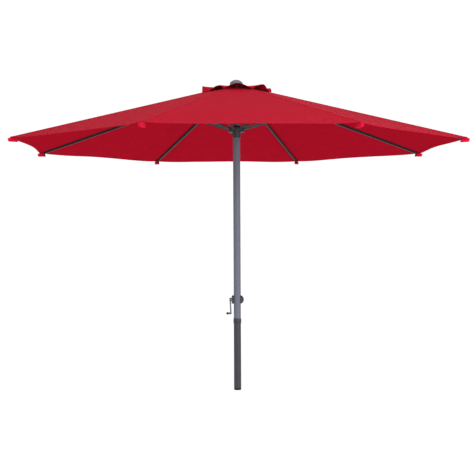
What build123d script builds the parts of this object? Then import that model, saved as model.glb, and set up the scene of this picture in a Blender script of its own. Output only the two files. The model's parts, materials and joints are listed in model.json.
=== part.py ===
"""A crank-lift patio umbrella: eight ribs, one red canopy, a two-piece pole.

Frame: millimetres, +Z up, origin at the centre of the pole's bottom face.
Everything about one rib is made in that rib's own upright plane, with X outward, and
is then turned about Z to its place.  Rib 1 points to the front right, and the others
follow anticlockwise as seen from above.
"""
from build123d import *
from math import acos, atan, atan2, cos, degrees, radians, sin, sqrt, tan
import os

# ---- canopy and ribs ---------------------------------------------------------------
RIB_COUNT = 8
FIRST_RIB_ANGLE = -67.5         # degrees about +Z from +X
TIP_RADIUS = 1500.0             # outermost point of the rib pockets
RIDGE_FALL = 0.2709             # fall of a ridge seam per millimetre of radius
APEX_Z = 2013.5                 # height where the eight ridge seams would meet
HEM_RADIUS = 1488.0             # canopy corner, on the ridge seam
FABRIC = 1.6                    # thickness of the canopy solids
SEAM_GAP = 2.0                  # panel edge to ridge seam
FOLD_GAP = 1.75                 # degrees between a panel's edge and the middle of its gore
VENT_RADIUS = 120.0             # the canopy starts here, under the vent cap
CAP_INNER = 68.0                # vent cap, measured along the ridge seam
CAP_OUTER = 236.0
CAP_LIFT = 3.2                  # vent cap above the canopy
CAP_SEAM_GAP = 10.5
CAP_TILT = 21.0                 # degrees by which each half sector of the cap flares up

RIB_WIDTH = 12.0
RIB_DEPTH = 14.0
RIB_WALL = 1.2
RIB_LENGTH = 1490.0             # hub pivot to tip
RIB_SOLID_END = 14.0            # length of the solid end that takes the hub pin
RIDGE_ABOVE_RIB = 10.5          # ridge seam to the middle of the rib
PIVOT_RADIUS = 42.0             # hub pivots and runner pivots
ARM = 480.0                     # hub pivot to strut pivot, and the strut's own length
STRUT_DROP = 13.0               # strut pivot below the middle of the rib
STRUT_SIZE = 11.0
STRUT_WEB = 2.0
PIN_RADIUS = 2.5
PIN_LENGTH = 22.0
PIN_FIT = 0.06                  # radial clearance of every pin in a moving hole
SNUG = 0.02                     # radial clearance of a pin in its own carrier
SLOT_FIT = 0.3                  # side clearance of a rib or strut in its slot

POCKET_START = 1450.0           # rib pocket, measured along the rib from the hub pivot
POCKET_WIDTH = 21.0
POCKET_TOP = 8.0                # above the middle of the rib
POCKET_DEEP = -31.0             # its bottom at the mouth, and at the outer end
POCKET_SHALLOW = -13.5
POCKET_WALL = 2.5
POCKET_EASE = 0.3               # cloth to rib, all round

# ---- pole ---------------------------------------------------------------------------
SHANK_RADIUS = 24.0             # lower pole, the part that stands in a base
NECK_RADIUS = 23.5              # its swaged end inside the collar
POLE_RADIUS = 23.8              # upper pole
POLE_WALL = 2.0
FOOT_RADIUS = 23.6
CAP_HEIGHT = 13.0               # visible black foot cap
CAP_PLUG = 24.0
COLLAR_LOW, COLLAR_HIGH = 439.0, 471.0
COLLAR_RADIUS = 26.6
COLLAR_END_RADIUS = 25.6
JOINT_Z = 455.0                 # top of the lower pole
STOP_THICKNESS = 2.0            # collar's inner ledge between the two tubes
SLEEVE_LOW, SLEEVE_HIGH = 305.0, 540.0
SLEEVE_WALL = 3.0
SLIDE_FIT = 0.1
POLE_TOP = 1966.0
AXLE_HOLE = 6.5                 # radius of the crank axle's hole in the pole

# ---- hub, runner and finial ---------------------------------------------------------
HUB_RADIUS = 50.0
HUB_NECK = 26.0
HUB_BORE = 16.0
HUB_LOW = 1972.0
HUB_PLATE_LOW, HUB_PLATE_HIGH = 1998.8, 2002.0
HUB_CORE = 31.5
SPIGOT_LOW = 1919.0
PULLEY_RADIUS = 13.0
PULLEY_Y, PULLEY_Z = 14.0, 1982.0
PULLEY_WIDTH = 6.0
PULLEY_PIN = 2.0
PULLEY_PIN_HALF = 12.0
PULLEY_GROOVE = 2.5
STEM_RADIUS = 6.0
STEM_LOW = 1997.0
CROWN_RADIUS = 62.0
FINIAL_RADIUS = 42.0
FINIAL_DOME = 54.0              # radius of the domed top
FINIAL_FOOT = 2006.0
FINIAL_TOP = 2046.0
RUNNER_RADIUS = 53.0
RUNNER_HALF = 16.0
RUNNER_TOP = 24.0               # neck above the runner pivots
RUNNER_BOTTOM = -53.0           # tapered sleeve below the runner pivots
RUNNER_FIT = 0.3

# ---- crank --------------------------------------------------------------------------
CRANK_Z = 596.0
BOSS_HEIGHT, BOSS_WIDTH = 55.0, 32.0
BOSS_LEFT, BOSS_RIGHT = 36.0, 44.0
BOSS_INNER = 17.0
AXLE_RADIUS = 5.0
CRANK_THROW = 91.0
ARM_INNER, ARM_OUTER = 37.5, 51.0
ARM_THICKNESS = 10.0
ARM_LEAN = 3.0                  # towards the pole at the lower end
ARM_WIDTH = 12.0
ARM_EYE = 12.5
ARM_FOOT = 7.5
KNOB_INNER, KNOB_OUTER = 49.0, 73.5
KNOB_COLLAR, KNOB_BALL = 6.5, 8.5
KNOB_PIN = 3.0
SPOOL_HALF = 12.0
SPOOL_FLANGE, SPOOL_DRUM = 16.0, 12.0
SCREW_OFFSET = 20.0
SCREW_SHANK, SCREW_HEAD = 1.8, 3.6

# ---- worked out from the above ------------------------------------------------------
SLOPE = atan(RIDGE_FALL)
SECTOR = radians(360.0 / RIB_COUNT)
PIVOT_FOOT = PIVOT_RADIUS + RIDGE_ABOVE_RIB * sin(SLOPE)
PIVOT_Z = APEX_Z - RIDGE_FALL * PIVOT_FOOT - RIDGE_ABOVE_RIB * cos(SLOPE)
STRUT_REACH = sqrt(ARM**2 - STRUT_DROP**2)
ARM_ANGLE = SLOPE + atan2(STRUT_DROP, STRUT_REACH)
RUNNER_Z = PIVOT_Z - 2 * ARM * sin(ARM_ANGLE)
HALF_GORE = 0.5 * acos(cos(SLOPE) ** 2 * cos(SECTOR) + sin(SLOPE) ** 2)
MIDDLE_FALL = RIDGE_FALL / cos(SECTOR / 2)
GORE_DIP = atan2(
    sin(SLOPE) * cos(SECTOR / 2) - MIDDLE_FALL * cos(SLOPE), sin(SECTOR / 2)
)
POCKET_END = (TIP_RADIUS - PIVOT_RADIUS - POCKET_TOP * sin(SLOPE)) / cos(SLOPE)
POLE_BORE = POLE_RADIUS - POLE_WALL

BOTTOM = (Align.CENTER, Align.CENTER, Align.MIN)
INWARD = (Align.MIN, Align.CENTER, Align.CENTER)


# ---- helpers ------------------------------------------------------------------------
def turned(outline):
    """A solid of revolution about Z from an outline of (radius, height) points."""
    return revolve(Plane.XZ * make_face(Polyline(*outline, close=True)), Axis.Z)


def ring(outer, inner, low, high):
    """An upright tube."""
    body = Pos(0, 0, low) * Cylinder(outer, high - low, align=BOTTOM)
    return body - Pos(0, 0, low) * Cylinder(inner, high - low, align=BOTTOM)


def pin(radius, length, x, z):
    """A pin along Y in a rib's plane."""
    return Pos(x, 0, z) * Rot(90, 0, 0) * Cylinder(radius, length)


def along_x(radius, start, end, z=0.0):
    """A round bar along X."""
    return Pos(min(start, end), 0, z) * Rot(0, 90, 0) * Cylinder(
        radius, abs(end - start), align=BOTTOM
    )


def around(solid):
    """Eight turned copies of a solid that was made in rib 1's plane."""
    step = 360.0 / RIB_COUNT
    return [Rot(0, 0, FIRST_RIB_ANGLE + step * i) * solid for i in range(RIB_COUNT)]


def save(name, *solids):
    """Write one sub-part, which may hold several separate solids."""
    whole = solids[0] if len(solids) == 1 else Compound(children=list(solids))
    export_step(whole, f"parts/{name}.step")


# ---- pole ---------------------------------------------------------------------------
def foot_cap():
    """Black cap, nearly as wide as the pole, with a plug that goes up inside the tube."""
    edge = 1.5
    outline = [
        (0, 0),
        (FOOT_RADIUS - edge, 0),
        (FOOT_RADIUS, edge),
        (FOOT_RADIUS, CAP_HEIGHT),
        (POLE_BORE - SNUG, CAP_HEIGHT),
        (POLE_BORE - SNUG, CAP_HEIGHT + CAP_PLUG - edge),
        (POLE_BORE - edge, CAP_HEIGHT + CAP_PLUG),
        (0, CAP_HEIGHT + CAP_PLUG),
    ]
    return turned(outline)


def pole_collar():
    """Barrel-shaped ring round the pole joint, with a ledge between the two tubes."""
    middle = (COLLAR_LOW + COLLAR_HIGH) / 2
    outside = [
        Line((0, COLLAR_LOW), (COLLAR_END_RADIUS, COLLAR_LOW)),
        ThreePointArc(
            (COLLAR_END_RADIUS, COLLAR_LOW),
            (COLLAR_RADIUS, middle),
            (COLLAR_END_RADIUS, COLLAR_HIGH),
        ),
        Line((COLLAR_END_RADIUS, COLLAR_HIGH), (0, COLLAR_HIGH)),
        Line((0, COLLAR_HIGH), (0, COLLAR_LOW)),
    ]
    body = revolve(Plane.XZ * make_face(Curve() + outside), Axis.Z)
    ledge_top = JOINT_Z + STOP_THICKNESS
    lower = Pos(0, 0, COLLAR_LOW) * Cylinder(
        NECK_RADIUS + SNUG, JOINT_Z - COLLAR_LOW, align=BOTTOM
    )
    middle_hole = Pos(0, 0, JOINT_Z) * Cylinder(
        POLE_BORE + SLIDE_FIT, STOP_THICKNESS, align=BOTTOM
    )
    upper = Pos(0, 0, ledge_top) * Cylinder(
        POLE_RADIUS + SLIDE_FIT, COLLAR_HIGH - ledge_top, align=BOTTOM
    )
    return body - lower - middle_hole - upper


def lower_pole():
    """Lower tube, swaged to a slightly narrower neck where the collar sits."""
    shank = ring(SHANK_RADIUS, POLE_BORE, CAP_HEIGHT, COLLAR_LOW)
    return shank + ring(NECK_RADIUS, POLE_BORE, COLLAR_LOW, JOINT_Z)


def upper_pole():
    """Upper tube with the cross holes for the crank axle and the housing screws."""
    tube = ring(POLE_RADIUS, POLE_BORE, JOINT_Z + STOP_THICKNESS, POLE_TOP)
    through = POLE_RADIUS + 1
    tube -= along_x(AXLE_HOLE, -through, through, CRANK_Z)
    for offset in (-SCREW_OFFSET, SCREW_OFFSET):
        tube -= along_x(SCREW_SHANK + SNUG, -through, through, CRANK_Z + offset)
    return tube


def joint_sleeve():
    """Inner tube fixed in the upper pole, which slides into the lower one."""
    outer = POLE_BORE - SLIDE_FIT
    return ring(outer, outer - SLEEVE_WALL, SLEEVE_LOW, SLEEVE_HIGH)


# ---- hub and finial -----------------------------------------------------------------
def top_hub():
    """Slotted hub on the pole's top, with a spigot inside the tube."""
    neck = Pos(0, 0, POLE_TOP) * Cylinder(HUB_NECK, HUB_LOW - POLE_TOP, align=BOTTOM)
    disc = Pos(0, 0, HUB_LOW) * Cylinder(
        HUB_RADIUS, HUB_PLATE_LOW - HUB_LOW, align=BOTTOM
    )
    plate = Pos(0, 0, HUB_PLATE_LOW) * Cylinder(
        HUB_RADIUS - 2, HUB_PLATE_HIGH - HUB_PLATE_LOW, align=BOTTOM
    )
    spigot = Pos(0, 0, SPIGOT_LOW) * Cylinder(
        POLE_BORE - SNUG, POLE_TOP - SPIGOT_LOW, align=BOTTOM
    )
    hub = neck + disc + plate + spigot
    bore = POLE_TOP - SPIGOT_LOW + 2
    hub -= Pos(0, 0, SPIGOT_LOW) * Cylinder(HUB_BORE, bore, align=BOTTOM)
    hub -= pulley_slot()
    slot = Pos(HUB_CORE, 0, HUB_LOW) * Box(
        30, RIB_WIDTH + 2 * SLOT_FIT, HUB_PLATE_LOW - HUB_LOW,
        align=(Align.MIN, Align.CENTER, Align.MIN),
    )
    hole = pin(PIN_RADIUS + SNUG, PIN_LENGTH, PIVOT_RADIUS, PIVOT_Z)
    for cut in around(slot) + around(hole):
        hub -= cut
    hub -= pulley_pin(PULLEY_PIN + SNUG)
    stem = HUB_PLATE_HIGH - STEM_LOW
    hub -= Pos(0, 0, STEM_LOW) * Cylinder(STEM_RADIUS + SNUG, stem, align=BOTTOM)
    return hub


def pulley_slot():
    """Slot that lets the lift cord over the pulley and down outside the pole."""
    height = PULLEY_Z + PULLEY_RADIUS + 1.5 - POLE_TOP
    return Pos(0, PULLEY_Y + 1, POLE_TOP) * Box(
        PULLEY_WIDTH + 1, 2 * PULLEY_RADIUS + 4, height,
        align=(Align.CENTER, Align.CENTER, Align.MIN),
    )


def pulley_pin(radius):
    """The pulley's pin, or its hole."""
    return Pos(0, PULLEY_Y, 0) * along_x(
        radius, -PULLEY_PIN_HALF, PULLEY_PIN_HALF, PULLEY_Z
    )


def cord_pulley():
    """Grooved wheel for the lift cord."""
    half = PULLEY_WIDTH / 2
    outline = [
        (PULLEY_PIN + PIN_FIT, -half),
        (PULLEY_RADIUS, -half),
        (PULLEY_RADIUS - PULLEY_GROOVE, 0),
        (PULLEY_RADIUS, half),
        (PULLEY_PIN + PIN_FIT, half),
    ]
    return Pos(0, PULLEY_Y, PULLEY_Z) * Rot(0, 90, 0) * turned(outline)


def finial():
    """Shallow domed cap with a stem into the hub."""
    stem = Pos(0, 0, STEM_LOW) * Cylinder(
        STEM_RADIUS, FINIAL_FOOT - STEM_LOW, align=BOTTOM
    )
    cap = Pos(0, 0, FINIAL_FOOT) * Cylinder(
        FINIAL_RADIUS, FINIAL_TOP - FINIAL_FOOT, align=BOTTOM
    )
    edge = 4.0
    cap = fillet(cap.edges().group_by(Axis.Z)[0], edge)
    cap &= Pos(0, 0, FINIAL_TOP - FINIAL_DOME) * Sphere(FINIAL_DOME)
    return stem + cap


def canopy_crown():
    """Small round of fabric that closes the canopy between the hub and the finial."""
    flat = HUB_PLATE_HIGH + 0.5
    rim = flat - 3.0
    bore = STEM_RADIUS + 0.5
    outline = [
        (bore, flat),
        (HUB_RADIUS - 1, flat),
        (CROWN_RADIUS, rim),
        (CROWN_RADIUS, rim + FABRIC),
        (HUB_RADIUS - 1, flat + FABRIC + 0.4),
        (bore, flat + FABRIC + 0.4),
    ]
    return turned(outline)


# ---- runner -------------------------------------------------------------------------
def runner():
    """Slotted sliding ring that carries the strut feet."""
    bore = POLE_RADIUS + RUNNER_FIT
    low, high = -RUNNER_HALF, RUNNER_HALF
    outline = [
        (bore, RUNNER_BOTTOM),
        (bore + 2.2, RUNNER_BOTTOM),
        (bore + 5.0, low - 4),
        (RUNNER_RADIUS - 5, low),
        (RUNNER_RADIUS, low + 4),
        (RUNNER_RADIUS, high - 4),
        (RUNNER_RADIUS - 4, high),
        (bore + 6.0, high),
        (bore + 5.0, RUNNER_TOP),
        (bore, RUNNER_TOP),
    ]
    body = turned(outline)
    slot = Pos(PIVOT_RADIUS - 9, 0, 0) * Box(
        30, STRUT_SIZE + 2 * SLOT_FIT, 80, align=INWARD
    )
    hole = pin(PIN_RADIUS + SNUG, PIN_LENGTH, PIVOT_RADIUS, 0)
    for cut in around(slot) + around(hole):
        body -= cut
    return Pos(0, 0, RUNNER_Z) * body


# ---- ribs, struts and pockets -------------------------------------------------------
def rib_plane():
    """Origin on the hub pivot, X along the rib, Z out of the canopy."""
    return Plane(
        origin=(PIVOT_RADIUS, 0, PIVOT_Z),
        x_dir=(cos(SLOPE), 0, -sin(SLOPE)),
        z_dir=(sin(SLOPE), 0, cos(SLOPE)),
    )


def rib_tube():
    """Rectangular tube with a solid round end for the hub pin."""
    tube = Box(RIB_LENGTH, RIB_WIDTH, RIB_DEPTH, align=INWARD)
    tube += pin(RIB_DEPTH / 2, RIB_WIDTH, 0, 0)
    tube -= Pos(RIB_SOLID_END, 0, 0) * Box(
        RIB_LENGTH, RIB_WIDTH - 2 * RIB_WALL, RIB_DEPTH - 2 * RIB_WALL, align=INWARD
    )
    return tube - pin(PIN_RADIUS + PIN_FIT, RIB_WIDTH, 0, 0)


def strut_clip():
    """Pressed clip over the rib whose two cheeks hold the strut's pin."""
    cheek, web, half = 2.0, 1.4, 12.0
    width = RIB_WIDTH + 2 * cheek
    top = RIB_DEPTH / 2 + web
    bottom = -STRUT_DROP - 7.0
    clip = Pos(STRUT_REACH, 0, (top + bottom) / 2) * Box(2 * half, width, top - bottom)
    clip -= Pos(STRUT_REACH, 0, bottom) * Box(
        2 * half, RIB_WIDTH, 2 * (RIB_DEPTH / 2 - bottom)
    )
    return clip - pin(PIN_RADIUS + SNUG, width, STRUT_REACH, -STRUT_DROP)


def strut_pin():
    """Pin of the strut on its rib."""
    return pin(PIN_RADIUS, RIB_WIDTH + 6, STRUT_REACH, -STRUT_DROP)


def strut():
    """Pressed channel from the rib's clip to the runner, open on its underside."""
    half = STRUT_SIZE / 2
    bar = Box(ARM, STRUT_SIZE, STRUT_SIZE, align=INWARD)
    bar += pin(half, STRUT_SIZE, 0, 0) + pin(half, STRUT_SIZE, ARM, 0)
    end = 14.0
    bar -= Pos(end, 0, STRUT_WEB) * Box(
        ARM - 2 * end, STRUT_SIZE - 3.0, STRUT_SIZE, align=INWARD
    )
    for x in (0, ARM):
        bar -= pin(PIN_RADIUS + PIN_FIT, STRUT_SIZE, x, 0)
    start = rib_plane() * Pos(STRUT_REACH, 0, -STRUT_DROP)
    place = Plane(
        origin=start.position,
        x_dir=(-cos(ARM_ANGLE), 0, -sin(ARM_ANGLE)),
        z_dir=(sin(ARM_ANGLE), 0, -cos(ARM_ANGLE)),
    )
    return place * bar


def pocket_wedge(width, top, inset):
    """Wedge over the rib's tip, deep at the pocket's mouth and shallow at its end."""
    length = POCKET_END - POCKET_START - inset
    outline = [
        (0, top),
        (length, top),
        (length, POCKET_SHALLOW + inset),
        (0, POCKET_DEEP + inset),
    ]
    side = Plane.XZ * make_face(Polyline(*outline, close=True))
    return Pos(POCKET_START, 0, 0) * extrude(side, width / 2, both=True)


def rib_pocket():
    """Sewn pocket that holds the rib's tip at the canopy's corner."""
    room = RIB_WIDTH + 2 * POCKET_EASE
    pocket = pocket_wedge(POCKET_WIDTH, POCKET_TOP, 0)
    pocket -= pocket_wedge(room, -RIB_DEPTH / 2, POCKET_WALL)
    mouth = RIB_LENGTH - POCKET_START + 2
    return pocket - Pos(POCKET_START, 0, 0) * Box(
        mouth, room, RIB_DEPTH + 2 * POCKET_EASE, align=INWARD
    )


# ---- canopy -------------------------------------------------------------------------
def gore_plane():
    """Origin at the apex, X down the ridge seam, Y across the left half gore."""
    return Plane(
        origin=(0, 0, APEX_Z),
        x_dir=(cos(SLOPE), 0, -sin(SLOPE)),
        z_dir=(
            cos(GORE_DIP) * sin(SLOPE),
            -sin(GORE_DIP),
            cos(GORE_DIP) * cos(SLOPE),
        ),
    )


def sheet(start, end, seam_gap, low):
    """Flat half gore between two distances down the ridge seam."""
    spread = tan(HALF_GORE - radians(FOLD_GAP))
    lean = tan(HALF_GORE)
    corner = end / (1 + lean * spread)
    outline = [
        (start, seam_gap),
        (end - seam_gap * lean, seam_gap),
        (corner, corner * spread),
        (start, start * spread),
    ]
    face = make_face(Polyline(*outline, close=True))
    return Pos(0, 0, low) * extrude(face, FABRIC)


def half_gore():
    """Half a gore of canopy with the half sector of vent cap that lies on it."""
    panel = sheet(VENT_RADIUS, HEM_RADIUS / cos(SLOPE), SEAM_GAP, -FABRIC / 2)
    cap = sheet(CAP_INNER, CAP_OUTER, 0, 0)
    cap -= Box(2 * CAP_OUTER, 2 * CAP_SEAM_GAP, 4 * FABRIC)
    hinge = Pos(0, CAP_SEAM_GAP, CAP_LIFT) * Rot(CAP_TILT, 0, 0) * Pos(0, -CAP_SEAM_GAP, 0)
    return [gore_plane() * panel, gore_plane() * hinge * cap]


# ---- crank --------------------------------------------------------------------------
def boss(depth):
    """Rounded block from the pole's side out to a depth, along +X."""
    profile = Rectangle(BOSS_HEIGHT, BOSS_WIDTH)
    profile = fillet(profile.vertices(), BOSS_WIDTH / 2 - 1)
    block = Pos(BOSS_INNER, 0, CRANK_Z) * Rot(0, 90, 0) * extrude(
        profile, depth - BOSS_INNER
    )
    pole = Pos(0, 0, CRANK_Z) * Cylinder(POLE_RADIUS + SNUG, 2 * BOSS_HEIGHT)
    return block - pole


def screw_holes(depth):
    """Stepped holes for the two screws of one housing half, along +X."""
    holes = []
    for offset in (-SCREW_OFFSET, SCREW_OFFSET):
        height = CRANK_Z + offset
        holes.append(along_x(SCREW_SHANK + SNUG, BOSS_INNER, depth, height))
        holes.append(along_x(SCREW_HEAD + SNUG, depth - 4, depth + 20, height))
    return holes


def screws(depth):
    """The two screws of one housing half, along +X."""
    result = []
    for offset in (-SCREW_OFFSET, SCREW_OFFSET):
        height = CRANK_Z + offset
        shank = along_x(SCREW_SHANK, POLE_BORE - 1, depth - 4, height)
        head = along_x(SCREW_HEAD, depth - 4, depth - 1.5, height)
        slot = Pos(depth - 1.5, 0, height) * Box(2, 1.2, 2 * SCREW_HEAD)
        result.append(shank + head - slot)
    return result


def crank_housing_left():
    """Housing half on the crank's side, with the axle's bearing."""
    half = boss(BOSS_LEFT)
    half -= along_x(AXLE_RADIUS + PIN_FIT, 0, BOSS_LEFT + 1, CRANK_Z)
    for hole in screw_holes(BOSS_LEFT):
        half -= hole
    return Rot(0, 0, 180) * half


def crank_housing_right():
    """Domed housing half with the blind bearing of the axle."""
    half = boss(BOSS_RIGHT)
    radius = BOSS_HEIGHT / 2 + 3
    half &= Pos(BOSS_RIGHT - radius, 0, CRANK_Z) * Sphere(radius)
    half -= along_x(AXLE_RADIUS + PIN_FIT, 0, BOSS_LEFT, CRANK_Z)
    for hole in screw_holes(BOSS_RIGHT - 10):
        half -= hole
    return half


def cord_spool():
    """Flanged drum on the axle, inside the pole."""
    flange = 2.0
    bore = AXLE_RADIUS + SNUG
    outline = [
        (bore, -SPOOL_HALF),
        (SPOOL_FLANGE, -SPOOL_HALF),
        (SPOOL_FLANGE, -SPOOL_HALF + flange),
        (SPOOL_DRUM, -SPOOL_HALF + flange),
        (SPOOL_DRUM, SPOOL_HALF - flange),
        (SPOOL_FLANGE, SPOOL_HALF - flange),
        (SPOOL_FLANGE, SPOOL_HALF),
        (bore, SPOOL_HALF),
    ]
    return Pos(0, 0, CRANK_Z) * Rot(0, 90, 0) * turned(outline)


def crank_arm():
    """Leaning arm with an eye on the axle and the knob's pin at its lower end."""
    low = CRANK_Z - CRANK_THROW
    foot = -ARM_OUTER + ARM_LEAN
    outline = [
        (-ARM_OUTER, CRANK_Z),
        (-ARM_OUTER + ARM_THICKNESS, CRANK_Z),
        (foot + ARM_THICKNESS, low),
        (foot, low),
    ]
    side = Plane.XZ * make_face(Polyline(*outline, close=True))
    arm = extrude(side, ARM_WIDTH / 2, both=True)
    arm += along_x(ARM_EYE, -ARM_INNER, -ARM_OUTER - 1.0, CRANK_Z)
    arm += along_x(ARM_FOOT, foot, foot + ARM_THICKNESS, low)
    arm += along_x(KNOB_PIN, foot, -KNOB_OUTER + 6.0, low)
    return arm - along_x(AXLE_RADIUS + SNUG, 0, -ARM_OUTER, CRANK_Z)


def crank_knob():
    """Turned knob, narrow in the middle, with a ball at its end."""
    length = KNOB_OUTER - KNOB_INNER
    collar = 3.0
    neck = Pos(0, 0, collar) * Cone(6.0, 4.8, length - KNOB_BALL - collar, align=BOTTOM)
    knob = Cylinder(KNOB_COLLAR, collar, align=BOTTOM) + neck
    knob += Pos(0, 0, length - KNOB_BALL) * Sphere(KNOB_BALL)
    knob -= Cylinder(KNOB_PIN + PIN_FIT, length - 5.5, align=BOTTOM)
    return Pos(-KNOB_INNER, 0, CRANK_Z - CRANK_THROW) * Rot(0, -90, 0) * knob


# ---- write every sub-part -----------------------------------------------------------
os.makedirs("parts", exist_ok=True)

save("lower_pole", lower_pole())
save("pole_foot_cap", foot_cap())
save("pole_collar", pole_collar())
save("upper_pole", upper_pole())
save("joint_sleeve", joint_sleeve())

save("top_hub", top_hub())
save("hub_pins", *around(pin(PIN_RADIUS, PIN_LENGTH, PIVOT_RADIUS, PIVOT_Z)))
save("cord_pulley", cord_pulley())
save("pulley_pin", pulley_pin(PULLEY_PIN))
save("finial", finial())
save("canopy_crown", canopy_crown())

save("runner", runner())
save("runner_pins", *around(pin(PIN_RADIUS, PIN_LENGTH, PIVOT_RADIUS, RUNNER_Z)))

save("crank_housing_left", crank_housing_left())
save("crank_housing_right", crank_housing_right())
left_screws = [Rot(0, 0, 180) * screw for screw in screws(BOSS_LEFT)]
save("housing_screws", *left_screws, *screws(BOSS_RIGHT - 10))
save("cord_spool", cord_spool())
save("crank_axle", along_x(AXLE_RADIUS, -ARM_OUTER, BOSS_LEFT - 1, CRANK_Z))
save("crank_arm", crank_arm())
save("crank_knob", crank_knob())

ribs = [around(rib_plane() * solid) for solid in (rib_tube(), strut_clip(), strut_pin())]
struts = around(strut())
pockets = around(rib_plane() * rib_pocket())
left_halves = [around(solid) for solid in half_gore()]
right_halves = [around(mirror(solid, Plane.XZ)) for solid in half_gore()]
for i in range(RIB_COUNT):
    save(f"rib_{i + 1}", *[solids[i] for solids in ribs])
    save(f"strut_{i + 1}", struts[i])
    save(f"rib_pocket_{i + 1}", pockets[i])
    save(f"canopy_{i + 1}_left", *[solids[i] for solids in left_halves])
    save(f"canopy_{i + 1}_right", *[solids[i] for solids in right_halves])

print(f"rib slope {degrees(SLOPE):.3f}, hub pivot z {PIVOT_Z:.3f}, runner z {RUNNER_Z:.3f}")
print(f"half gore {degrees(HALF_GORE):.3f}, dip {degrees(GORE_DIP):.3f}")
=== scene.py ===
import json
import math

import bmesh
import bpy
from mathutils import Matrix, Vector, noise


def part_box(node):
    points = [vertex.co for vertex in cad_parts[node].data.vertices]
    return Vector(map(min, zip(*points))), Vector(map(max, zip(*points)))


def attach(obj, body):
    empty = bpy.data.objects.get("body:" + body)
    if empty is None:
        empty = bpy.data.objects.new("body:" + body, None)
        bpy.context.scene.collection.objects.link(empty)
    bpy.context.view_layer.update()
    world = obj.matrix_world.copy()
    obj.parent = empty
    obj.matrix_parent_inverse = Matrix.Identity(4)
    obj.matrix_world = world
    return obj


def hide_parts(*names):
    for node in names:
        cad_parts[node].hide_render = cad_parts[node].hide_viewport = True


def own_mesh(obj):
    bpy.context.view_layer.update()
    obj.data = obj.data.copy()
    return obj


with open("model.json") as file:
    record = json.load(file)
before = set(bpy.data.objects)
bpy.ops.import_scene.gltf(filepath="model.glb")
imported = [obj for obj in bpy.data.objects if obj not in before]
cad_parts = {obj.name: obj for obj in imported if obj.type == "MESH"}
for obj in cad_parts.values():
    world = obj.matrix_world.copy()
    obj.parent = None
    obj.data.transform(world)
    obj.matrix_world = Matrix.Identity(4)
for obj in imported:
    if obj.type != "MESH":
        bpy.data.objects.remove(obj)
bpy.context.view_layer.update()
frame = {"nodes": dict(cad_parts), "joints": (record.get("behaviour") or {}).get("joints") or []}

# ---- sizes read from the frame -------------------------------------------------------
JOINTS = {joint["name"]: joint for joint in frame["joints"]}
NODES = frame["nodes"]
RIBS = range(1, 9)
SIDES = {"left": 1, "right": -1}
HALF = math.radians(22.5)


def ridge_foot(rib):
    """A point on a rib's ridge seam."""
    return Vector(JOINTS[f"gore_{rib}_left_drape"]["pos_m"])


def rib_heading(rib):
    """A rib's direction about Z, in radians."""
    foot = ridge_foot(rib)
    return math.atan2(foot.y, foot.x)


def reach(node):
    """How far a node reaches from the pole's axis."""
    return max(math.hypot(v.co.x, v.co.y) for v in NODES[node].data.vertices)


RIDGE = Vector(JOINTS["gore_1_left_drape"]["axis"])
SLOPE = math.asin(-RIDGE.z)
FALL = math.tan(SLOPE)
APEX = ridge_foot(1).z + FALL * ridge_foot(1).xy.length
HEM = reach("canopy_1_left")

# ---- canopy shape, metres -------------------------------------------------------------
VENT = 0.105                    # the canopy's inner edge, under the cap
SCALLOP = 0.036                 # how far the middle of a hem stands in
SAG = 0.016                     # how far the middle of a hem hangs
CLOTH = 0.0006                  # half the cloth's thickness
HEM_FOLD = 0.020                # width of the turned-back hem
HEM_EDGE = 0.0015               # width of its rounded edges
HEM_RISE = 0.0005               # how far the hem's doubled cloth stands out above
HEM_DROP = 0.0009               # and below
SEAM_FOLD = 0.009               # width of the ridge seam on each side of a rib
SEAM_EDGE = 0.0012
SEAM_RISE = 0.0009
STITCH = 0.0045                 # length of a stitch
STITCH_STEP = 0.0075            # from one stitch to the next
STITCH_WIDTH = 0.0008
GORE_ROWS = 44                  # rows of faces from the vent to the hem's fold
GORE_COLUMNS = 16               # columns of faces from the seam to mid gore


# ---- materials ------------------------------------------------------------------------
FACTOR, COLOR_A, COLOR_B, COLOR_OUT = 0, 6, 7, 2    # sockets of a Mix node for colours
PAINT_SHADES = (0.86, 1.12)     # the darkest and lightest patches of a paint
GLOSS_SPREAD = (-0.07, 0.09)    # how its roughness varies


def new_material(name, color, roughness, metallic=0.0, specular=0.5):
    """A Principled material with its plain values set, and its node tree."""
    material = bpy.data.materials.new(name)
    material.use_nodes = True
    shader = material.node_tree.nodes["Principled BSDF"]
    shader.inputs["Base Color"].default_value = (*color, 1)
    shader.inputs["Roughness"].default_value = roughness
    shader.inputs["Metallic"].default_value = metallic
    shader.inputs["Specular IOR Level"].default_value = specular
    return material, material.node_tree, shader


def add(tree, kind, **values):
    """A node with its settings and its inputs' values."""
    node = tree.nodes.new(kind)
    for key, value in values.items():
        if key in node.inputs:
            node.inputs[key].default_value = value
        else:
            setattr(node, key, value)
    return node


def color_between(tree, factor, low, high):
    """Mixes two colours by a factor socket and returns the colour socket."""
    mix = add(tree, "ShaderNodeMix", data_type="RGBA")
    mix.inputs[COLOR_A].default_value = (*low, 1)
    mix.inputs[COLOR_B].default_value = (*high, 1)
    tree.links.new(factor, mix.inputs[FACTOR])
    return mix.outputs[COLOR_OUT]


def bump(tree, shader, height, strength, distance):
    """Adds a height to the shader's normal, on top of any earlier bump."""
    node = add(tree, "ShaderNodeBump", Strength=strength, Distance=distance)
    tree.links.new(height, node.inputs["Height"])
    earlier = shader.inputs["Normal"].links
    if earlier:
        tree.links.new(earlier[0].from_socket, node.inputs["Normal"])
    tree.links.new(node.outputs["Normal"], shader.inputs["Normal"])


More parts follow.
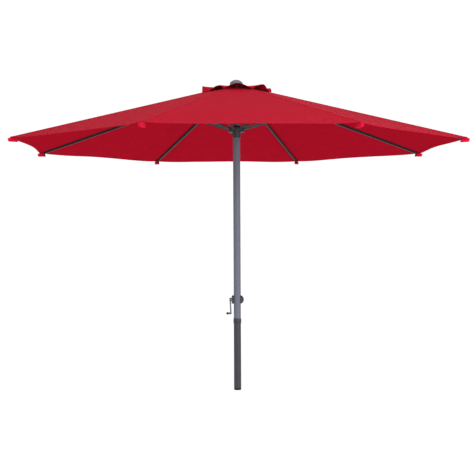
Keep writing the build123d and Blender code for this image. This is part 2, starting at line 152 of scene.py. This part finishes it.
def fabric(name, dark, light, sheen, specular):
    """Woven polyester: crossed yarns, slubs and soft mottling."""
    material, tree, shader = new_material(name, light, 0.82, specular=specular)
    shader.inputs["Sheen Weight"].default_value = sheen
    shader.inputs["Sheen Roughness"].default_value = 0.45
    shader.inputs["Sheen Tint"].default_value = (1.0, 0.5, 0.55, 1)
    uv = add(tree, "ShaderNodeUVMap", uv_map="cloth")
    yarns = []
    for axis in ("X", "Y"):
        wave = add(
            tree, "ShaderNodeTexWave", bands_direction=axis, wave_profile="SIN",
            Scale=260.0, Distortion=0.6, Detail=1.0,
        )
        tree.links.new(uv.outputs["UV"], wave.inputs["Vector"])
        yarns.append(wave.outputs["Fac"])
    weave = add(tree, "ShaderNodeMath", operation="MAXIMUM")
    tree.links.new(yarns[0], weave.inputs[0])
    tree.links.new(yarns[1], weave.inputs[1])
    slub = add(tree, "ShaderNodeTexNoise", Scale=9.0, Detail=6.0, Roughness=0.6)
    tree.links.new(uv.outputs["UV"], slub.inputs["Vector"])
    tint = color_between(tree, slub.outputs["Fac"], dark, light)
    shade = add(tree, "ShaderNodeMix", data_type="RGBA", blend_type="MULTIPLY")
    shade.inputs[FACTOR].default_value = 0.16
    tree.links.new(tint, shade.inputs[COLOR_A])
    tree.links.new(weave.outputs[0], shade.inputs[COLOR_B])
    tree.links.new(shade.outputs[COLOR_OUT], shader.inputs["Base Color"])
    bump(tree, shader, weave.outputs[0], 0.25, 0.0003)
    bump(tree, shader, slub.outputs["Fac"], 0.12, 0.004)
    return material


def painted(name, color, roughness, grain, metallic=0.0, specular=0.5):
    """Powder-coated or moulded surface with fine grain and uneven gloss."""
    material, tree, shader = new_material(name, color, roughness, metallic, specular)
    place = add(tree, "ShaderNodeTexCoord")
    fine = add(tree, "ShaderNodeTexNoise", Scale=grain, Detail=3.0)
    tree.links.new(place.outputs["Object"], fine.inputs["Vector"])
    broad = add(tree, "ShaderNodeTexNoise", Scale=7.0, Detail=5.0, Roughness=0.65)
    tree.links.new(place.outputs["Object"], broad.inputs["Vector"])
    low, high = (tuple(shade * c for c in color) for shade in PAINT_SHADES)
    tint = color_between(tree, broad.outputs["Fac"], low, high)
    tree.links.new(tint, shader.inputs["Base Color"])
    spread = add(tree, "ShaderNodeMapRange")
    spread.inputs["To Min"].default_value = roughness + GLOSS_SPREAD[0]
    spread.inputs["To Max"].default_value = roughness + GLOSS_SPREAD[1]
    tree.links.new(broad.outputs["Fac"], spread.inputs["Value"])
    tree.links.new(spread.outputs[0], shader.inputs["Roughness"])
    bump(tree, shader, fine.outputs["Fac"], 0.18, 0.0004)
    return material


OUTSIDE = fabric("canopy_outside", (0.36, 0.002, 0.014), (0.43, 0.004, 0.021), 0.012, 0.02)
# The undersides of the gores and crown get the same cloth made darker: painted shade.
INSIDE_SHADED = fabric("canopy_inside_shaded", (0.31, 0.004, 0.014), (0.39, 0.006, 0.020), 0.0, 0.0)
CAP_CLOTH = fabric("cap_cloth", (0.36, 0.001, 0.012), (0.43, 0.003, 0.018), 0.0, 0.03)
THREAD = fabric("thread", (0.34, 0.006, 0.02), (0.46, 0.012, 0.03), 0.0, 0.1)
POCKET = fabric("pocket_cloth", (0.46, 0.002, 0.020), (0.56, 0.005, 0.032), 0.01, 0.05)
# The pole's one paint comes in two copies: lighter on the upper pole as painted light from above,
# darker on the lower pole as painted shade.
POLE_PAINT_LIT = painted("pole_paint", (0.118, 0.134, 0.168), 0.34, 900.0, specular=0.14)
POLE_PAINT_SHADED = painted("pole_paint_shaded", (0.044, 0.048, 0.058), 0.34, 900.0, specular=0.16)
RIB_PAINT = painted("rib_paint", (0.026, 0.029, 0.032), 0.5, 900.0, specular=0.1)
STRUT_PAINT = painted("strut_paint", (0.056, 0.070, 0.090), 0.40, 900.0, specular=0.25)
DARK_PLASTIC = painted("dark_plastic", (0.028, 0.030, 0.036), 0.42, 600.0, specular=0.3)
BLACK_PLASTIC = painted("black_plastic", (0.006, 0.006, 0.006), 0.5, 500.0, specular=0.2)
KNOB_PLASTIC = painted("knob_plastic", (0.016, 0.016, 0.020), 0.35, 500.0)
GREY_PLASTIC = painted("grey_plastic", (0.105, 0.128, 0.150), 0.45, 600.0, specular=0.3)
STEEL = painted("pin_steel", (0.42, 0.42, 0.43), 0.32, 700.0, metallic=1.0)


def paint(material, *nodes):
    """Gives CAD nodes a material."""
    for node in nodes:
        slots = NODES[node].material_slots
        for index in range(len(slots)):
            slots[index].link = "OBJECT"
            slots[index].material = material


# The upper pole, sleeve and crank arm get the lit copy of the pole's paint and the lower pole the
# shaded copy: painted light and painted shade.
paint(POLE_PAINT_LIT, "upper_pole", "joint_sleeve", "crank_arm")
paint(POLE_PAINT_SHADED, "lower_pole")
paint(RIB_PAINT, *[f"rib_{k}" for k in RIBS])
paint(STRUT_PAINT, *[f"strut_{k}" for k in RIBS])
paint(
    DARK_PLASTIC, "top_hub", "runner", "pole_collar", "crank_housing_left",
    "crank_housing_right", "cord_spool", "cord_pulley",
)
paint(BLACK_PLASTIC, "pole_foot_cap")
paint(KNOB_PLASTIC, "crank_knob")
paint(GREY_PLASTIC, "finial")
paint(STEEL, "hub_pins", "runner_pins", "pulley_pin", "housing_screws", "crank_axle")


# ---- mesh helpers ---------------------------------------------------------------------
class Builder:
    """Collects vertices, faces with a material number, and cloth coordinates."""

    def __init__(self):
        self.points, self.faces, self.numbers, self.cloth = [], [], [], []

    def grid(self, rows, number, flip=False, cloth=None):
        """Adds a grid of points and its quads, and returns its first vertex."""
        first, width = len(self.points), len(rows[0])
        for i, row in enumerate(rows):
            for j, point in enumerate(row):
                self.points.append(point)
                self.cloth.append(cloth[i][j] if cloth else (point.x, point.y))
        for i in range(len(rows) - 1):
            for j in range(width - 1):
                a = first + i * width + j
                quad = (a, a + 1, a + width + 1, a + width)
                self.faces.append(quad[::-1] if flip else quad)
                self.numbers.append(number)
        return first

    def shell(self, top, bottom, cloth, flip=False):
        """A thin closed sheet from its two faces."""
        rows, width = len(top), len(top[0])
        a = self.grid(top, 0, flip, cloth)
        b = self.grid(bottom, 1, not flip, cloth)
        rim = list(range(width))
        rim += [i * width + width - 1 for i in range(1, rows)]
        rim += [(rows - 1) * width + j for j in range(width - 2, -1, -1)]
        rim += [i * width for i in range(rows - 2, 0, -1)]
        for p, q in zip(rim, rim[1:] + rim[:1]):
            quad = (a + q, a + p, b + p, b + q)
            self.faces.append(quad[::-1] if flip else quad)
            self.numbers.append(0)

    def stitch(self, start, end, up, number=2):
        """One raised stitch between two points."""
        along = (end - start).normalized()
        across = up.cross(along).normalized() * (STITCH_WIDTH / 2)
        rise = up * (STITCH_WIDTH * 0.45)
        low = [start - across, start + across, end + across, end - across]
        inner = along * (STITCH * 0.2)
        high = [
            start - across * 0.5 + inner + rise,
            start + across * 0.5 + inner + rise,
            end + across * 0.5 - inner + rise,
            end - across * 0.5 - inner + rise,
        ]
        first = len(self.points)
        for point in low + high:
            self.points.append(point)
            self.cloth.append((point.x, point.y))
        quads = [(3, 2, 1, 0), (4, 5, 6, 7), (0, 1, 5, 4), (1, 2, 6, 5), (2, 3, 7, 6), (3, 0, 4, 7)]
        for quad in quads:
            self.faces.append(tuple(first + q for q in quad))
            self.numbers.append(number)

    def stitches(self, line, ups, number=2):
        """Evenly spaced stitches along a line of points."""
        lengths = [0.0]
        for p, q in zip(line, line[1:]):
            lengths.append(lengths[-1] + (q - p).length)
        place, i = STITCH_STEP, 0
        while place + STITCH < lengths[-1]:
            while lengths[i + 1] < place:
                i += 1
            part = (line[i + 1] - line[i]).normalized()
            start = line[i] + part * (place - lengths[i])
            self.stitch(start, start + part * STITCH, ups[i], number)
            place += STITCH_STEP

    def build(self, name, materials, smooth=35.0):
        """The finished object, shaded smooth except at its edges."""
        mesh = bpy.data.meshes.new(name)
        mesh.from_pydata(self.points, [], self.faces)
        for material in materials:
            mesh.materials.append(material)
        mesh.polygons.foreach_set("material_index", self.numbers)
        mesh.polygons.foreach_set("use_smooth", [True] * len(mesh.polygons))
        layer = mesh.uv_layers.new(name="cloth")
        for loop in mesh.loops:
            layer.data[loop.index].uv = self.cloth[loop.vertex_index]
        mesh.set_sharp_from_angle(angle=math.radians(smooth))
        mesh.validate()
        piece = bpy.data.objects.new(name, mesh)
        bpy.context.scene.collection.objects.link(piece)
        return piece


def merge(piece, distance):
    """Joins points that lie on each other, and drops faces without area."""
    work = bmesh.new()
    work.from_mesh(piece.data)
    bmesh.ops.remove_doubles(work, verts=work.verts, dist=distance)
    bmesh.ops.dissolve_degenerate(work, edges=work.edges, dist=distance)
    work.to_mesh(piece.data)
    work.free()


def smooth_step(value):
    """0 to 1 with flat ends."""
    value = max(0.0, min(1.0, value))
    return value * value * (3 - 2 * value)


# ---- canopy ---------------------------------------------------------------------------
def rib_frame(rib):
    """Hub pivot and the rib's own axes: along it, across it and out of the canopy."""
    heading = rib_heading(rib)
    along = Vector(JOINTS[f"gore_{rib}_left_drape"]["axis"]).normalized()
    across = Vector((-math.sin(heading), math.cos(heading), 0))
    return Vector(JOINTS[f"rib_{rib}_fold"]["pos_m"]), along, across, along.cross(across)


def on_gore(rib, side, radius, share):
    """A point of the taut gore: radius along the ridge, share 0 at the ridge to 1 mid gore."""
    heading = rib_heading(rib)
    ridge = Vector((math.cos(heading), math.sin(heading))) * radius
    middle = heading + side * HALF
    inner = Vector((math.cos(middle), math.sin(middle))) * radius * math.cos(HALF)
    flat = ridge.lerp(inner, share)
    bow = 1 - (1 - share) ** 5
    height = APEX - FALL * radius - SAG * (radius / HEM) ** 3 * bow
    ripple = noise.noise(Vector((flat.x * 3.1, flat.y * 3.1, 4.2)))
    fine = noise.noise(Vector((flat.x * 9.0, flat.y * 9.0, 1.7)))
    taper = smooth_step(share * 3) * smooth_step((radius - VENT) * 2)
    height += taper * (0.0022 * ripple + 0.0006 * fine)
    return Vector((flat.x, flat.y, height))


def hem_radius(share):
    """Where the scalloped hem lies, as a radius along the ridge."""
    return HEM - SCALLOP * share * (2 - share) / math.cos(HALF)


def gore_normal(rib, side):
    """Outward normal of the flat gore."""
    apex = Vector((0, 0, APEX))
    ridge = on_gore(rib, side, HEM, 0.0) - apex
    across = on_gore(rib, side, HEM, 1.0) - apex
    normal = ridge.cross(across).normalized()
    return normal if normal.z > 0 else -normal


def half_gore(rib, name):
    """Half a gore from its ridge seam to the middle, with folded hem, seam and stitching."""
    side = SIDES[name]
    normal = gore_normal(rib, side)
    width_at_hem = HEM * math.sin(HALF)
    seam = [0.0, SEAM_EDGE, SEAM_FOLD - SEAM_EDGE, SEAM_FOLD]
    seam_share = SEAM_FOLD / width_at_hem
    spread = [seam_share + (1 - seam_share) * i / GORE_COLUMNS for i in range(1, GORE_COLUMNS + 1)]
    top, bottom, cloth = [], [], []
    rows = [("body", i / GORE_ROWS) for i in range(GORE_ROWS + 1)]
    rows += [("hem", place) for place in (HEM_EDGE, HEM_FOLD - HEM_EDGE, HEM_FOLD)]
    for kind, value in rows:
        top_row, bottom_row, cloth_row = [], [], []
        for j in range(len(seam) + len(spread)):
            guess = 0.0 if j < len(seam) else spread[j - len(seam)]
            limit = hem_radius(guess) - HEM_FOLD
            radius = VENT + (limit - VENT) * value if kind == "body" else limit + value
            width = radius * math.sin(HALF)
            if j < len(seam):
                share = seam[j] / width
            else:
                first = SEAM_FOLD / width
                share = first + (1 - first) * (j - len(seam) + 1) / len(spread)
            point = on_gore(rib, side, radius, share)
            in_hem = kind == "hem"
            in_seam = j < len(seam) - 1
            lift = CLOTH + (HEM_RISE if in_hem else 0.0) + (SEAM_RISE if in_seam else 0.0)
            drop = CLOTH + (HEM_DROP if in_hem else 0.0)
            if in_hem and value == HEM_FOLD:
                lift, drop = CLOTH * 0.8, CLOTH * 1.2
            top_row.append(point + normal * lift)
            bottom_row.append(point - normal * drop)
            cloth_row.append((share * width * side, radius / math.cos(SLOPE)))
        top.append(top_row)
        bottom.append(bottom_row)
        cloth.append(cloth_row)
    builder = Builder()
    builder.shell(top, bottom, cloth, flip=side > 0)
    seam_line = [row[2].lerp(row[1], 0.25) for row in top]
    builder.stitches(seam_line, [normal] * len(seam_line))
    hem_top = [p.lerp(q, 0.2) for p, q in zip(top[-3], top[-2])]
    hem_low = [p.lerp(q, 0.2) for p, q in zip(bottom[-3], bottom[-2])]
    builder.stitches(hem_top, [normal] * len(hem_top))
    builder.stitches(hem_low, [-normal] * len(hem_low))
    piece = builder.build(f"half_gore_{rib}_{name}", [OUTSIDE, INSIDE_SHADED, THREAD])
    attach(piece, f"gore_{rib}_{name}")
    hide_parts(f"canopy_{rib}_{name}")
    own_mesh(piece)


for rib in RIBS:
    for name in SIDES:
        half_gore(rib, name)


# ---- vent cap -------------------------------------------------------------------------
CAP_INNER = 0.058               # the cap's inner edge, as a radius along the ridge
CAP_OUTER = 0.243               # its hem
CAP_CLEAR = 0.0035              # its height over the gores where it is sewn down
CAP_CURL = 0.0025               # the small waves between the large ones
CAP_SIZE = (0.09, 0.19)         # width and length of half a sector, for its weave
CAP_HEM = 0.92                  # where its thicker hem starts, from 0 to 1
CAP_HEM_CLOTH = 1.6             # how many times as thick the hem is
CAP_ROWS = 14
CAP_COLUMNS = 20
# For the sector after each rib: how high its hem stands, where, and how steep its two flanks are.
CAP_WAVES = {
    1: (0.041, 0.57, 0.7, 2.6),
    2: (0.036, 0.45, 0.6, 0.7),
    3: (0.044, 0.44, 0.8, 1.0),
    4: (0.038, 0.55, 0.7, 0.7),
    5: (0.045, 0.40, 0.8, 1.0),
    6: (0.049, 0.52, 1.2, 1.2),
    7: (0.030, 0.82, 3.0, 0.8),
    8: (0.039, 0.47, 0.8, 0.9),
}


def cap_wave(sector, place):
    """How high the cap's hem stands at a place from 0 to 1 along a sector."""
    rise, peak, before, after = CAP_WAVES[sector]
    share = place / peak if place < peak else (1 - place) / (1 - peak)
    return rise * math.sin(max(0.0, share) * math.pi / 2) ** (before if place < peak else after)


def cap_point(rib, side, out, share):
    """A point of the vent cap: sewn down at the ridges, flared up between them."""
    radius = CAP_INNER + (CAP_OUTER - CAP_INNER) * out
    base = on_gore(rib, side, radius, share)
    sector = rib if side > 0 else (rib - 2) % 8 + 1
    place = share / 2 if side > 0 else 1 - share / 2
    wave = cap_wave(sector, place)
    lift = CAP_CLEAR + wave * out ** 1.4
    curl = CAP_CURL * out ** 4 * math.sin(place * math.tau * 2 + sector)
    return base + Vector((0, 0, lift + curl * math.sin(share * math.pi)))


def cap_half(rib, name):
    """Half a sector of the wavy vent cap."""
    side = SIDES[name]
    outs = [i / CAP_ROWS for i in range(CAP_ROWS + 1)]
    shares = [j / CAP_COLUMNS for j in range(CAP_COLUMNS + 1)]
    top, bottom, cloth = [], [], []
    for out in outs:
        thick = CLOTH * (CAP_HEM_CLOTH if out > CAP_HEM else 1.0)
        top_row, bottom_row, cloth_row = [], [], []
        for share in shares:
            point = cap_point(rib, side, out, share)
            top_row.append(point + Vector((0, 0, thick)))
            bottom_row.append(point - Vector((0, 0, thick)))
            cloth_row.append((share * CAP_SIZE[0] * side, out * CAP_SIZE[1]))
        top.append(top_row)
        bottom.append(bottom_row)
        cloth.append(cloth_row)
    builder = Builder()
    builder.shell(top, bottom, cloth, flip=side > 0)
    hem = [p.lerp(q, 0.5) for p, q in zip(top[-2], top[-1])]
    builder.stitches(hem, [Vector((0, 0, 1))] * len(hem))
    piece = builder.build(f"vent_cap_{rib}_{name}", [CAP_CLOTH, CAP_CLOTH, THREAD])
    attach(piece, f"gore_{rib}_{name}")
    gore_normal(rib, side)
    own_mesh(piece)


for rib in RIBS:
    for name in SIDES:
        cap_half(rib, name)


# ---- crown ----------------------------------------------------------------------------
CROWN_HOLE = 0.012              # radius of the hole for the finial's stem
CROWN_FLAT = 0.046              # out to here the crown lies flat on the hub
CROWN_DROOP = 0.20              # slope of its free rim
CROWN_LOW = 0.0012              # its middle lies this far under its top
CROWN_HALF = 0.0005             # half its thickness
CROWN_PLEATS, CROWN_PLEAT = 24, 0.0007
CROWN_ROWS, CROWN_SPOKES = 6, 96


def crown():
    """Small round of gathered cloth between the hub and the finial."""
    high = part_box("canopy_crown")[1]
    outer = high[0]
    builder = Builder()
    top, bottom, cloth = [], [], []
    for i in range(CROWN_ROWS + 1):
        radius = CROWN_HOLE + (outer - CROWN_HOLE) * i / CROWN_ROWS
        top_row, bottom_row, cloth_row = [], [], []
        for j in range(CROWN_SPOKES + 1):
            turn = math.tau * (j % CROWN_SPOKES) / CROWN_SPOKES
            fold = CROWN_PLEAT * math.cos(CROWN_PLEATS * turn) * smooth_step(radius / outer)
            drop = max(0.0, radius - CROWN_FLAT) * CROWN_DROOP
            x, y = radius * math.cos(turn), radius * math.sin(turn)
            point = Vector((x, y, high[2] - CROWN_LOW - drop + fold))
            top_row.append(point + Vector((0, 0, CROWN_HALF)))
            bottom_row.append(point - Vector((0, 0, CROWN_HALF)))
            cloth_row.append((x, y))
        top.append(top_row)
        bottom.append(bottom_row)
        cloth.append(cloth_row)
    builder.shell(top, bottom, cloth, flip=False)
    piece = builder.build("crown_cloth", [OUTSIDE, INSIDE_SHADED, THREAD])
    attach(piece, "upper_mast")
    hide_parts("canopy_crown")


crown()


# ---- rib pockets ----------------------------------------------------------------------
RIB_HOLE = (0.0068, 0.0078)     # half the width and depth of the hole in a pocket's mouth
RIB_SQUARE = 0.2                # how square that hole is, as for POCKET_SQUARE
MOUTH_DEPTH = 0.0008
POCKET_HEM = 0.009              # the mouth is folded back by this much
POCKET_CORNERS = 36             # points round a pocket
POCKET_SQUARE = 0.36            # 1 would be round, and 0 a rectangle
POCKET_CLOTH = 0.0016
POCKET_CREASE = 0.0005
POCKET_SEAMS = (24, 156, 204, 336)      # degrees round the pocket
# Along a pocket from 0 to 1, and its size there against the full size: bound mouth, body, soft end.
POCKET_STATIONS = (
    (0.0, 0.975), (0.02, 1.0), (0.11, 1.0), (0.13, 0.965), (0.35, 0.965),
    (0.6, 0.97), (0.8, 0.965), (0.94, 0.96), (0.985, 0.94), (1.0, 0.87),
)


def squared(value, power):
    """Moves a sine or cosine towards 1 or -1, which makes a circle squarer."""
    return math.copysign(abs(value) ** power, value)


def pocket_sizes(rib):
    """Start, end, half width, top, and the bottom at the start and at the end."""
    origin, *axes = rib_frame(rib)
    places = [
        [(v.co - origin).dot(a) for a in axes] for v in NODES[f"rib_pocket_{rib}"].data.vertices
    ]
    start, end = min(p[0] for p in places), max(p[0] for p in places)
    half, high = max(p[1] for p in places), max(p[2] for p in places)
    deep = min(p[2] for p in places if p[0] < start + 0.001)
    shallow = min(p[2] for p in places if p[0] > end - 0.001)
    return start, end, half, high, deep, shallow


def pocket(rib):
    """Sewn wedge-shaped pocket with soft corners, a bound mouth and stitching."""
    origin, along, across, up = rib_frame(rib)
    start, end, half, high, deep, shallow = pocket_sizes(rib)
    deep += (shallow - deep) * POCKET_HEM / (end - start)
    start += POCKET_HEM

    def spot(share, turn, size, inset):
        low = deep + (shallow - deep) * share
        c, s = math.cos(turn), math.sin(turn)
        x = squared(c, POCKET_SQUARE) * (half * size - inset)
        z = squared(s, POCKET_SQUARE) * ((high - low) / 2 * size - inset)
        crease = POCKET_CREASE * math.sin(40 * share + 3 * turn) * (0.2 < share < 0.9)
        length = start + (end - start) * share - (inset if share > 0.9 else 0)
        return (
            origin + along * length + across * (x - crease * c) + up * ((high + low) / 2 + z)
        )

    turns = [math.tau * (j % POCKET_CORNERS) / POCKET_CORNERS for j in range(POCKET_CORNERS + 1)]
    outer, inner = (
        [[spot(share, turn, size, inset) for turn in turns] for share, size in POCKET_STATIONS]
        for inset in (0, POCKET_CLOTH)
    )
    builder = Builder()
    for rows, flip in ((outer, True), (inner[1:], False)):
        builder.grid(rows, 0, flip)
        tip = sum(rows[-1][:-1], Vector()) / POCKET_CORNERS
        builder.grid([rows[-1], [tip] * (POCKET_CORNERS + 1)], 0, flip)
    mouth = [
        origin + along * (start + MOUTH_DEPTH)
        + across * squared(math.cos(turn), RIB_SQUARE) * RIB_HOLE[0]
        + up * squared(math.sin(turn), RIB_SQUARE) * RIB_HOLE[1]
        for turn in turns
    ]
    builder.grid([outer[0], mouth], 0, False)
    builder.grid([mouth, inner[1]], 0, False)
    for degrees in POCKET_SEAMS:
        turn = math.radians(degrees)
        line = [spot(share, turn, size, 0) for share, size in POCKET_STATIONS[2:-1]]
        outward = across if math.cos(turn) > 0 else -across
        builder.stitches(line, [outward] * len(line), number=1)
    piece = builder.build(f"pocket_{rib}", [POCKET, THREAD])
    merge(piece, 0.00002)
    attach(piece, f"rib_{rib}")
    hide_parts(f"rib_pocket_{rib}")


for rib in RIBS:
    pocket(rib)


# ---- floor, light and camera ----------------------------------------------------------
FLOOR_SIZE = 90.0               # half its side
FLOOR_GLOW = 0.90
# Where the light from the sides fades (share of a direction's X), and its full strength.
SIDE_DIMMING = (0.40, 0.85, 1.03)
# Where that fading sets in above the horizon (share of Z), and the sides' strength below and above.
HIGH_DIMMING = (0.25, 0.38, 1.03, 0.30)


def floor():
    """A wide pale floor under the pole."""
    mesh = bpy.data.meshes.new("floor")
    mesh.from_pydata(
        [(x * FLOOR_SIZE, y * FLOOR_SIZE, 0) for x, y in ((-1, -1), (1, -1), (1, 1), (-1, 1))],
        [], [(0, 1, 2, 3)],
    )
    material, _, shader = new_material("floor", (0.2, 0.2, 0.2), 0.9, specular=0.0)
    shader.inputs["Emission Color"].default_value = (1, 1, 1, 1)
    shader.inputs["Emission Strength"].default_value = FLOOR_GLOW
    mesh.materials.append(material)
    ground = bpy.data.objects.new("floor", mesh)
    ground.location.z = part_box("pole_foot_cap")[0][2]
    bpy.context.scene.collection.objects.link(ground)


def light(name, place, size, power, target=(0, 0, 1.3)):
    """A soft rectangular lamp that faces the umbrella."""
    data = bpy.data.lights.new(name, "AREA")
    data.shape = "RECTANGLE"
    data.size, data.size_y = size
    data.energy = power
    lamp = bpy.data.objects.new(name, data)
    lamp.location = place
    aim = Vector(target) - Vector(place)
    lamp.rotation_euler = aim.to_track_quat("-Z", "Y").to_euler()
    bpy.context.scene.collection.objects.link(lamp)


def camera():
    """The camera stands about a metre above the floor, a little left of the front."""
    data = bpy.data.cameras.new("camera")
    data.sensor_width = 36.0
    data.lens = 71.58
    view = bpy.data.objects.new("camera", data)
    turn = math.radians(-3.2545)
    distance, height = 6.172, 1.0545
    shift, aim_height, roll = -0.0130, 1.0220, -0.0046
    view.location = (math.sin(turn) * distance, -math.cos(turn) * distance, height)
    target = Vector((shift * math.cos(turn), shift * math.sin(turn), aim_height))
    aim = (target - view.location).to_track_quat("-Z", "Y")
    view.rotation_mode = "QUATERNION"
    view.rotation_quaternion = aim @ Matrix.Rotation(roll, 3, "Z").to_quaternion()
    bpy.context.scene.collection.objects.link(view)
    bpy.context.scene.camera = view


def fade(tree, source, values):
    """Maps a socket smoothly from one range to another."""
    node = add(tree, "ShaderNodeMapRange", interpolation_type="SMOOTHSTEP")
    for key, value in zip(("From Min", "From Max", "To Min", "To Max"), values):
        node.inputs[key].default_value = value
    tree.links.new(source, node.inputs["Value"])
    return node


def surroundings():
    """White light from all round, dimmer high up on the left and the right."""
    world = bpy.data.worlds.new("studio")
    world.use_nodes = True
    tree = world.node_tree
    sky = tree.nodes["Background"]
    sky.inputs["Color"].default_value = (1, 1, 1, 1)
    place = add(tree, "ShaderNodeTexCoord")
    parts = add(tree, "ShaderNodeSeparateXYZ")
    tree.links.new(place.outputs["Generated"], parts.inputs[0])
    sideways = add(tree, "ShaderNodeMath", operation="ABSOLUTE")
    tree.links.new(parts.outputs["X"], sideways.inputs[0])
    dim = fade(tree, sideways.outputs[0], SIDE_DIMMING)
    high = fade(tree, parts.outputs["Z"], HIGH_DIMMING)
    tree.links.new(high.outputs[0], dim.inputs["To Max"])
    tree.links.new(dim.outputs[0], sky.inputs["Strength"])
    bpy.context.scene.world = world
    bpy.context.scene.view_settings.view_transform = "Standard"


floor()
surroundings()
light("key_softbox", (2.6, -4.4, 1.5), (0.45, 2.4), 118.0, (0, 0, 1.0))
light("front_softbox", (-1.2, -6.0, 2.6), (1.6, 2.2), 55.0)
light("top_softbox", (0.5, -2.5, 5.5), (3.0, 3.0), 45.0)
camera()
